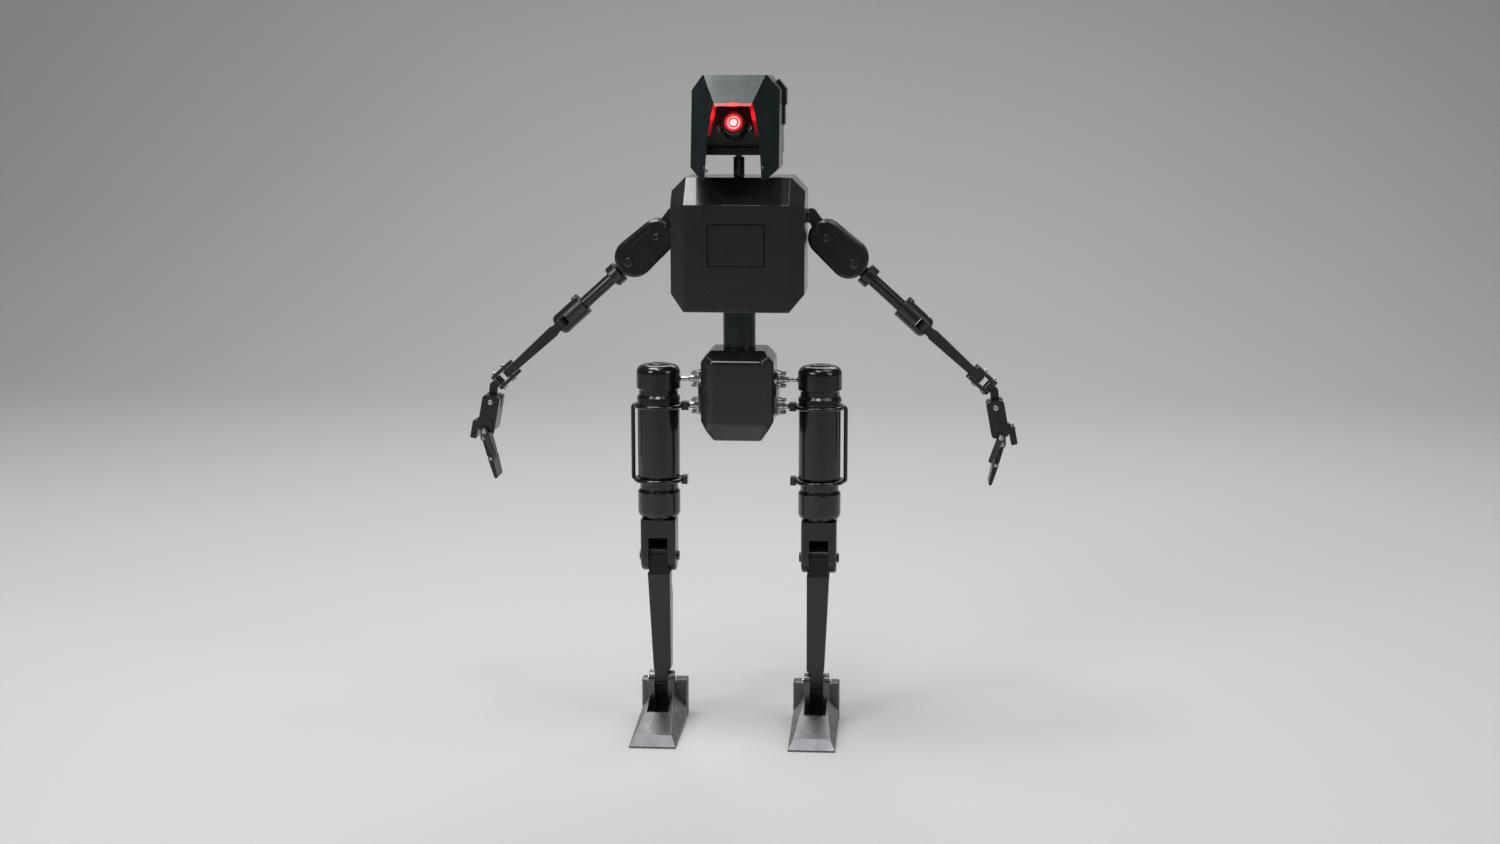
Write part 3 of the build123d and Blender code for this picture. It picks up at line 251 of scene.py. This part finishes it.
def arch_glow():
    """Painted red light in the arch, the eye's glow reflected on its inner edge: hot in the middle of each
    stretch, faded out at the lower ends.
    """
    n = Nodes("arch_red")
    low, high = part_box("brow_light")
    split = n.add("ShaderNodeSeparateXYZ")
    n.join(n.place, split.inputs[0])
    rise = high.z - low.z
    fade = n.remap(split.outputs["Z"], low.z, low.z + FADE_UP * rise, 0.0, 1.0, smooth=True)
    total = ARCH_BETWEEN
    for share in (-SIDE_SPOT_OUT, 0, SIDE_SPOT_OUT):
        spot = (share * high.x, low.y, low.z + SIDE_SPOT_UP * rise if share else high.z)
        near = n.remap(n.distance(spot, (1, 0.3, 1)), HOT_REACH, 0, 0, ARCH_HOT, smooth=True)
        total = n.maths("ADD", near, total)
    n.shader.inputs["Base Color"].default_value = (0.25, 0.005, 0.006, 1)
    n.shader.inputs["Roughness"].default_value = 0.15
    n.shader.inputs["Emission Color"].default_value = (1.0, 0.004, 0.007, 1)
    n.join(n.maths("MULTIPLY", fade, total), n.shader.inputs["Emission Strength"])
    return n.material


def eye_radius(n):
    """Distance from the eye's own axis, for the rings of light."""
    away = n.add("ShaderNodeVectorMath", operation="SUBTRACT")
    n.join(n.place, away.inputs[0])
    away.inputs[1].default_value = eye_axis_spot
    cross = n.add("ShaderNodeVectorMath", operation="CROSS_PRODUCT")
    n.join(away.outputs[0], cross.inputs[0])
    cross.inputs[1].default_value = eye_look
    length = n.add("ShaderNodeVectorMath", operation="LENGTH")
    n.join(cross.outputs[0], length.inputs[0])
    return length.outputs["Value"]


def ring_glow():
    """Red ring of the eye, brightest at its inner edge."""
    n = Nodes("eye_ring_red")
    radius = eye_radius(n)
    n.shader.inputs["Base Color"].default_value = (0.3, 0.01, 0.012, 1)
    n.shader.inputs["Roughness"].default_value = 0.18
    hot = n.remap(radius, RING_BRIGHT, RING_DIM, 1.0, 0.0)
    n.join(n.mix(hot, (0.5, 0.0, 0.006, 1), (1.0, 0.05, 0.06, 1)), n.shader.inputs["Emission Color"])
    n.join(n.remap(hot, 0.0, 1.0, 0.25, 1.6), n.shader.inputs["Emission Strength"])
    return n.material


def core_glow():
    """White core of the eye, with a thin red circle in it."""
    n = Nodes("eye_core_white")
    off_line = n.maths("ABSOLUTE", n.maths("SUBTRACT", eye_radius(n), LINE_RADIUS))
    line = n.remap(off_line, LINE_END, LINE_FULL)
    n.shader.inputs["Base Color"].default_value = (0.12, 0.02, 0.02, 1)
    n.shader.inputs["Roughness"].default_value = 0.12
    n.join(n.mix(line, (1.0, 0.8, 0.78, 1), (0.8, 0.01, 0.015, 1)), n.shader.inputs["Emission Color"])
    n.join(n.remap(line, 0.0, 1.0, 1.05, 0.8), n.shader.inputs["Emission Strength"])
    return n.material


eye_red, eye_white, red_light = ring_glow(), core_glow(), arch_glow()

NODE_FINISHES = {
    graphite: ("torso_front_shell", "torso_back_shell", "chest_panel"),
    teal: ("head_hood", "left_ear_plate", "right_ear_plate", "waist_column"),
    pelvis_black: ("pelvis_housing",),
    frame_grey: ("sensor_block",),
    dark_steel: ("neck_post",),
    satin_black: ("head_tray", "eye_barrel"),
    red_light: ("brow_light",),
    eye_red: ("eye_ring",),
    eye_white: ("eye_lens",),
    board: ("control_board",),
    wrap: ("battery_pack",),
}
PAIR_FINISHES = {
    gloss_black: ("thigh_barrel", "thigh_cage"),
    satin_black: ("shoulder_case_front", "shoulder_case_back", "palm", "knuckle_block", "finger_roots",
                  "finger_tips", "knee_clevis", "shin", "wrist_link"),
    dark_metal: ("arm_tube", "arm_sleeve", "shoulder_bracket"),
    blade_metal: ("forearm_blade", "wrist_clevis"),
    dark_steel: ("shoulder_case_pins", "hip_plate", "thumb"),
    foot_metal: ("foot", "heel_block"),
}
for material, names in PAIR_FINISHES.items():
    paired = tuple(f"{side}_{name}" for side, _ in SIDES for name in names)
    NODE_FINISHES[material] = NODE_FINISHES.get(material, ()) + paired
for material, names in NODE_FINISHES.items():
    for name in names:
        nodes[name].data.materials.clear()
        nodes[name].data.materials.append(material)


# ---------------------------------------------------------------- mesh helpers
# Edges that bend more than this stay sharp.
SHARP = math.radians(32)


def across(axis):
    """Two directions square to an axis and to each other."""
    helper = Z if abs(axis.z) < 0.9 else X
    first = axis.cross(helper).normalized()
    return first, axis.cross(first).normalized()


class Piece:
    """Collects turned shapes into one mesh that rides on a body."""

    def __init__(self, name):
        self.name = name
        self.mesh = bmesh.new()

    def turned(self, centre, axis, profile, steps=32):
        """Turns (height, radius, sides) rings about an axis. Sides is 0 for round, 6 for a hexagon."""
        axis = axis.normalized()
        first, second = across(axis)
        rings = []
        for height, radius, sides in profile:
            ring = []
            for step in range(steps):
                angle = 2 * math.pi * step / steps
                reach = radius
                if sides:
                    half = math.pi / sides
                    reach = radius / math.cos((angle % (2 * half)) - half)
                offset = first * math.cos(angle) * reach + second * math.sin(angle) * reach
                ring.append(self.mesh.verts.new(centre + axis * height + offset))
            rings.append(ring)
        for lower, upper in zip(rings, rings[1:]):
            for step in range(steps):
                after = (step + 1) % steps
                self.mesh.faces.new((lower[step], lower[after], upper[after], upper[step]))
        self.mesh.faces.new(list(reversed(rings[0])))
        self.mesh.faces.new(rings[-1])

    def screw(self, centre, axis, radius, height, drive=0.5):
        """Round screw head with a rounded rim and a hexagon socket."""
        socket = radius * drive
        rim = min(height * 0.45, radius * 0.3)
        profile = [(-0.3 * height, radius, 0), (height - rim, radius, 0)]
        for turn in (0.35, 0.7, 1.0):
            angle = turn * math.pi / 2
            profile.append((height - rim + rim * math.sin(angle), radius - rim + rim * math.cos(angle), 0))
        profile += [(height, socket * 1.12, 6), (height - 0.1 * radius, socket, 6),
                    (0.35 * height, socket, 6)]
        self.turned(centre, axis, profile, 36)

    def cap(self, centre, axis, radius, height):
        """Plain pin end with a small chamfer and a shallow dimple."""
        profile = [(-0.3 * height, radius, 0), (0.65 * height, radius, 0), (height, radius * 0.78, 0),
                   (height, radius * 0.36, 0), (0.7 * height, radius * 0.2, 0)]
        self.turned(centre, axis, profile, 28)

    def nut(self, centre, axis, flats, height, bore):
        """Hexagon nut with chamfered corners; flats is half the width across flats."""
        profile = [(0, flats * 1.02, 0), (0.12 * height, flats, 6), (0.86 * height, flats, 6),
                   (height, flats * 1.01, 0), (height, bore, 0), (0.7 * height, bore * 0.9, 0)]
        self.turned(centre, axis, profile, 36)

    def thread(self, centre, axis, radius, length, pitch):
        """Threaded rod end, as close rings."""
        count = max(3, round(length / pitch))
        profile = [(0, radius * 0.86, 0)]
        for turn in range(count):
            base = length * turn / count
            profile += [(base + 0.25 * length / count, radius, 0), (base + 0.5 * length / count, radius, 0),
                        (base + 0.9 * length / count, radius * 0.84, 0)]
        profile.append((length, radius * 0.7, 0))
        self.turned(centre, axis, profile, 20)

    def done(self, body, material):
        """Makes the object, shades it smooth up to the sharp angle, and lets it ride."""
        bmesh.ops.recalc_face_normals(self.mesh, faces=self.mesh.faces)
        for face in self.mesh.faces:
            face.smooth = True
        for edge in self.mesh.edges:
            edge.smooth = edge.calc_face_angle(0.0) < SHARP
        data = bpy.data.meshes.new(self.name)
        self.mesh.to_mesh(data)
        self.mesh.free()
        data.materials.append(material)
        piece = bpy.data.objects.new(self.name, data)
        bpy.context.scene.collection.objects.link(piece)
        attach(piece, body)


# ---------------------------------------------------------------- head, neck and torso
# Half the length of the nod pin.
NOD_PIN_HALF = 9 * MM
# Screws of the back shell, out from its middle and in from its top and bottom.
BACK_SCREW_OUT, BACK_SCREW_IN = 40 * MM, 22 * MM

piece = Piece("eye_trunnion_caps")
yoke_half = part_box("eye_barrel")[1].x
for way in (-1, 1):
    piece.screw(Vector((way * yoke_half, eye_axis_spot.y, eye_axis_spot.z)), X * way, 2.6 * MM, 1.4 * MM)
piece.done("eye", bright_steel)

nod = joint_at("head_nod")
piece = Piece("nod_pin_caps")
for way in (-1, 1):
    piece.screw(Vector((way * NOD_PIN_HALF, nod.y, nod.z)), X * way, 2.6 * MM, 1.2 * MM)
piece.done("head", bright_steel)

back_low, back_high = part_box("torso_back_shell")
piece = Piece("torso_back_screws")
for x in (-BACK_SCREW_OUT, BACK_SCREW_OUT):
    for z in (back_low.z + BACK_SCREW_IN, back_high.z - BACK_SCREW_IN):
        piece.screw(Vector((x, back_high.y, z)), Y, 3.2 * MM, 1.4 * MM)
piece.done("torso", dark_steel)

# ---------------------------------------------------------------- arms
# The small screw of the case, from the shoulder joint, up the arm and out.
SMALL_SCREW_UP, SMALL_SCREW_OUT = 12.2 * MM, 1.9 * MM
# Clamp screw of the sleeve's lug: down the arm from the shoulder joint, out, and half the lug's width.
CLAMP_DOWN, CLAMP_OUT, CLAMP_HALF = 97.1 * MM, 9.6 * MM, 3.0 * MM
# How far the caps stand from the arm's middle at the elbow and wrist, and how far apart the wrist's pins are.
ELBOW_CAP_OUT, WRIST_CAP_OUT, WRIST_PIN_GAP = 9.6 * MM, 7.6 * MM, 11.5 * MM
# Half the width of the palm and across its knuckle plates, and how far a screw stands off the thumb.
PALM_HALF, KNUCKLE_HALF, THUMB_GAP = 13.2 * MM, 15.0 * MM, 0.8 * MM
# The knuckle block's screws: down the palm, apart, and out to the block's face.
BLOCK_DOWN, BLOCK_SCREW_HALF, BLOCK_FACE = 29 * MM, 5.5 * MM, 14.2 * MM

for side, sign in SIDES:
    shoulder = joint_at(f"{side}_shoulder_lift")
    pivot = joint_at(f"{side}_arm_pivot")
    elbow = joint_at(f"{side}_elbow")
    wrist = joint_at(f"{side}_wrist_flex")
    down = (wrist - elbow).normalized()
    # Square to the arm, out and up.
    cross_arm = Vector((-down.z * sign, 0, down.x * sign))
    case_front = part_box(f"{side}_shoulder_case_front")[0].y
    case_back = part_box(f"{side}_shoulder_case_back")[1].y

    # Screws through the shoulder case.
    piece = Piece(f"{side}_case_screws")
    for spot, radius in ((shoulder, 3.4 * MM), (pivot, 4.4 * MM)):
        for y, direction in ((case_front, -Y), (case_back, Y)):
            piece.screw(Vector((spot.x, y, spot.z)), direction, radius, 1.4 * MM, 0.42)
    small = shoulder - down * SMALL_SCREW_UP + cross_arm * SMALL_SCREW_OUT
    piece.screw(Vector((small.x, case_front, small.z)), -Y, 1.4 * MM, 0.6 * MM)
    piece.done(f"{side}_upper_arm", dark_steel)
    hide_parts(f"{side}_shoulder_case_pins")

    # Pin ends of the elbow and both ends of the sleeve's clamp screw.
    piece = Piece(f"{side}_elbow_pin_caps")
    clamp = shoulder + down * CLAMP_DOWN + cross_arm * CLAMP_OUT
    for way in (-1, 1):
        piece.cap(elbow + cross_arm * way * ELBOW_CAP_OUT, cross_arm * way, 2.3 * MM, 0.9 * MM)
        piece.screw(clamp + Y * way * CLAMP_HALF, Y * way, 1.3 * MM, 0.8 * MM)
    piece.done(f"{side}_arm_sleeve", bright_steel)

    # Pin ends of the wrist.
    piece = Piece(f"{side}_wrist_pin_caps")
    for spot in (wrist, wrist - down * WRIST_PIN_GAP):
        for way in (-1, 1):
            piece.screw(spot + cross_arm * way * WRIST_CAP_OUT, cross_arm * way, 2.4 * MM, 2.2 * MM, 0.45)
    piece.done(f"{side}_forearm", bright_steel)

    # Screws of the hand.
    palm_pivot = joint_at(f"{side}_wrist_tilt")
    knuckle = joint_at(f"{side}_knuckle")
    tip = joint_at(f"{side}_fingertip")
    thumb = joint_at(f"{side}_thumb_fold")
    tips_low, tips_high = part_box(f"{side}_finger_tips")
    palm_down = (knuckle - palm_pivot).normalized()
    palm_out = Vector((-palm_down.z * sign, 0, palm_down.x * sign))
    piece = Piece(f"{side}_hand_screws")
    for way in (-1, 1):
        piece.screw(palm_pivot + Y * way * PALM_HALF, Y * way, 2.4 * MM, 1.0 * MM)
        piece.screw(knuckle + Y * way * KNUCKLE_HALF, Y * way, 2.2 * MM, 0.9 * MM)
        # On the outer face of the knuckle block.
        block = palm_pivot + palm_down * (BLOCK_DOWN + way * BLOCK_SCREW_HALF) + palm_out * BLOCK_FACE
        piece.screw(block, palm_out, 1.5 * MM, 0.7 * MM)
    piece.done(f"{side}_palm", bright_steel)
    piece = Piece(f"{side}_finger_screws")
    for way, y in ((-1, tips_low.y), (1, tips_high.y)):
        piece.screw(Vector((tip.x, y, tip.z)), Y * way, 1.7 * MM, 0.7 * MM)
    piece.done(f"{side}_fingertips", bright_steel)
    piece = Piece(f"{side}_thumb_screw")
    thumb_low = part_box(f"{side}_thumb")[0]
    piece.screw(Vector((thumb.x, thumb_low.y - THUMB_GAP, thumb.z)), -Y, 2.2 * MM, 0.9 * MM)
    piece.done(f"{side}_palm", bright_steel)

# ---------------------------------------------------------------- hips and legs
# The hip disc's face, out from the pelvis, and the rods, above and below the hip joint.
DISC_FACE, ROD_RISE = 2.5 * MM, 12.3 * MM
# Bright sleeve on each rod: its radius, where it starts, and where it ends on the upper and lower rod.
SLEEVE_RADIUS, SLEEVE_START, UPPER_SLEEVE_END, LOWER_SLEEVE_END = 2.25 * MM, 9.8 * MM, 17.5 * MM, 10.4 * MM
# The four bolts round a rod, and what sits on each one.
BOLT_Y, BOLT_Z, WASHER_HEIGHT, NUT_HEIGHT = 4.6 * MM, 5.6 * MM, 0.6 * MM, 2.2 * MM
# How far the caps of the ankle's pin stand from the joint.
ANKLE_CAP_OUT = 12.6 * MM
# Turned profiles, as (height, radius, sides).
ROD_SOCKET = [(0, 3.9 * MM, 0), (5.2 * MM, 3.9 * MM, 0), (5.8 * MM, 3.3 * MM, 0),
              (9.5 * MM, 3.0 * MM, 0), (10.2 * MM, 2.4 * MM, 0)]
WASHER = [(0, 2.5 * MM, 0), (0.5 * MM, 2.5 * MM, 0), (WASHER_HEIGHT, 2.3 * MM, 0)]
THIGH_CAP = [(0, 9.4 * MM, 0), (0.5 * MM, 9.4 * MM, 0), (0.9 * MM, 8.9 * MM, 0),
             (0.9 * MM, 6.4 * MM, 0), (0.5 * MM, 6.0 * MM, 0), (0.5 * MM, 3.4 * MM, 0),
             (1.0 * MM, 3.0 * MM, 0), (1.0 * MM, 1.6 * MM, 6), (0.2 * MM, 1.6 * MM, 6)]

for side, sign in SIDES:
    hip = joint_at(f"{side}_hip")
    knee = joint_at(f"{side}_knee")
    ankle = joint_at(f"{side}_ankle")
    out = X * sign
    pelvis_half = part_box("pelvis_housing")[1].x

    piece = Piece(f"{side}_hip_nuts")
    for rise, sleeve_end in ((-ROD_RISE, LOWER_SLEEVE_END), (ROD_RISE, UPPER_SLEEVE_END)):
        rod_centre = Vector(((pelvis_half + DISC_FACE) * sign, hip.y, hip.z + rise))
        piece.turned(rod_centre, out, ROD_SOCKET)
        piece.turned(rod_centre, out, [(SLEEVE_START, SLEEVE_RADIUS, 0), (sleeve_end, SLEEVE_RADIUS, 0)], 24)
        for y in (-BOLT_Y, BOLT_Y):
            for z in (-BOLT_Z, BOLT_Z):
                bolt = rod_centre + Vector((0, y, z))
                piece.turned(bolt, out, WASHER, 24)
                piece.nut(bolt + out * WASHER_HEIGHT, out, 2.1 * MM, NUT_HEIGHT, 1.35 * MM)
                bolt_end = bolt + out * (WASHER_HEIGHT + NUT_HEIGHT)
                piece.thread(bolt_end, out, 1.42 * MM, 4.8 * MM, 0.6 * MM)
    piece.done(f"{side}_thigh", bright_steel)

    thigh_top = Vector((knee.x, hip.y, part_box(f"{side}_thigh_barrel")[1].z))
    piece = Piece(f"{side}_thigh_top_cap")
    piece.turned(thigh_top, Z, THIGH_CAP, 48)
    piece.done(f"{side}_thigh", gloss_black)

    clevis_low, clevis_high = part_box(f"{side}_knee_clevis")
    piece = Piece(f"{side}_knee_pin_caps")
    for way, x in ((-1, clevis_low.x), (1, clevis_high.x)):
        piece.screw(Vector((x, knee.y, knee.z)), X * way, 4.6 * MM, 1.3 * MM)
    piece.done(f"{side}_thigh", dark_steel)

    piece = Piece(f"{side}_ankle_pin_caps")
    for way in (-1, 1):
        piece.screw(ankle + X * way * ANKLE_CAP_OUT, X * way, 3.4 * MM, 1.0 * MM)
    piece.done(f"{side}_foot", bright_steel)

# ---------------------------------------------------------------- floor, light and camera
FLOOR_HALF, BACKDROP_Y, BACKDROP_HEIGHT, BEND, BEND_STEPS = 7.0, 3.2, 3.4, 1.2, 16


def studio_floor():
    """Pale floor that curves up into a backdrop behind the robot."""
    mesh = bmesh.new()
    line = [Vector((0, -FLOOR_HALF, 0)), Vector((0, 0, 0))]
    for step in range(BEND_STEPS + 1):
        angle = math.pi / 2 * step / BEND_STEPS
        line.append(Vector((0, BACKDROP_Y - BEND + BEND * math.sin(angle), BEND - BEND * math.cos(angle))))
    line.append(Vector((0, BACKDROP_Y, BACKDROP_HEIGHT)))
    rows = [[mesh.verts.new(p + X * x) for p in line] for x in (-FLOOR_HALF, FLOOR_HALF)]
    for index in range(len(line) - 1):
        face = mesh.faces.new((rows[0][index], rows[0][index + 1], rows[1][index + 1], rows[1][index]))
        face.smooth = True
    bmesh.ops.recalc_face_normals(mesh, faces=mesh.faces)
    data = bpy.data.meshes.new("studio_floor")
    mesh.to_mesh(data)
    mesh.free()
    floor = bpy.data.objects.new("studio_floor", data)
    bpy.context.scene.collection.objects.link(floor)
    n = Nodes("pale_floor")
    tone = n.mix(n.noise(0.5, 3.0), (0.60, 0.60, 0.595, 1), (0.63, 0.63, 0.625, 1))
    n.join(tone, n.shader.inputs["Base Color"])
    n.shader.inputs["Roughness"].default_value = 0.7
    data.materials.append(n.material)


def softbox(name, spot, aim, width, height, power):
    """Rectangular studio light."""
    light = bpy.data.lights.new(name, "AREA")
    light.shape = "RECTANGLE"
    light.size, light.size_y = width, height
    light.energy = power
    lamp = bpy.data.objects.new(name, light)
    lamp.location = spot
    lamp.rotation_euler = (Vector(aim) - Vector(spot)).to_track_quat("-Z", "Y").to_euler()
    bpy.context.scene.collection.objects.link(lamp)


studio_floor()
# Each light's place, what it points at, and its width, height and power.
softbox("overhead_left", (-0.62, -0.05, 2.15), (-0.62, -0.05, 0.4), 0.9, 0.9, 24)
softbox("overhead_front", (-0.1, -0.80, 2.2), (0, -0.04, 0.58), 0.5, 0.5, 7)
softbox("overhead_right", (0.95, 0.0, 2.2), (0.95, 0, 0.4), 1.1, 1.2, 9)
softbox("key_front_left", (-1.9, -2.2, 2.0), (0, 0, 0.35), 1.2, 1.2, 26)
softbox("fill_right", (2.4, -1.4, 1.5), (0, 0, 0.3), 0.9, 1.4, 12)
softbox("rear_top", (0.2, 2.1, 2.15), (0, 0, 0.1), 2.2, 1.0, 26)

world = bpy.data.worlds.new("studio_world")
bpy.context.scene.world = world
world.use_nodes = True
world.node_tree.nodes["Background"].inputs["Color"].default_value = (0.5, 0.5, 0.5, 1)
world.node_tree.nodes["Background"].inputs["Strength"].default_value = 0.16
bpy.context.scene.view_settings.view_transform = "Standard"

# The lens stands nearly level with the head's top, a little to the robot's left, and looks down.
CAMERA_AZIMUTH, CAMERA_PITCH, HEADING_TRIM = 4.6, 9.27, 0.305
CAMERA_DISTANCE, CAMERA_HEIGHT = 3.152 * HEIGHT, 0.99 * HEIGHT
leg_line_y = joint_at("left_ankle").y
around = math.radians(CAMERA_AZIMUTH)
camera_data = bpy.data.cameras.new("camera")
camera_data.sensor_width = 36
camera_data.lens = 50
camera_data.clip_start = 0.05
camera = bpy.data.objects.new("camera", camera_data)
camera.location = (CAMERA_DISTANCE * math.sin(around), leg_line_y - CAMERA_DISTANCE * math.cos(around),
                   CAMERA_HEIGHT)
camera.rotation_euler = (math.radians(90 - CAMERA_PITCH), 0, math.radians(CAMERA_AZIMUTH - HEADING_TRIM))
bpy.context.scene.collection.objects.link(camera)
bpy.context.scene.camera = camera
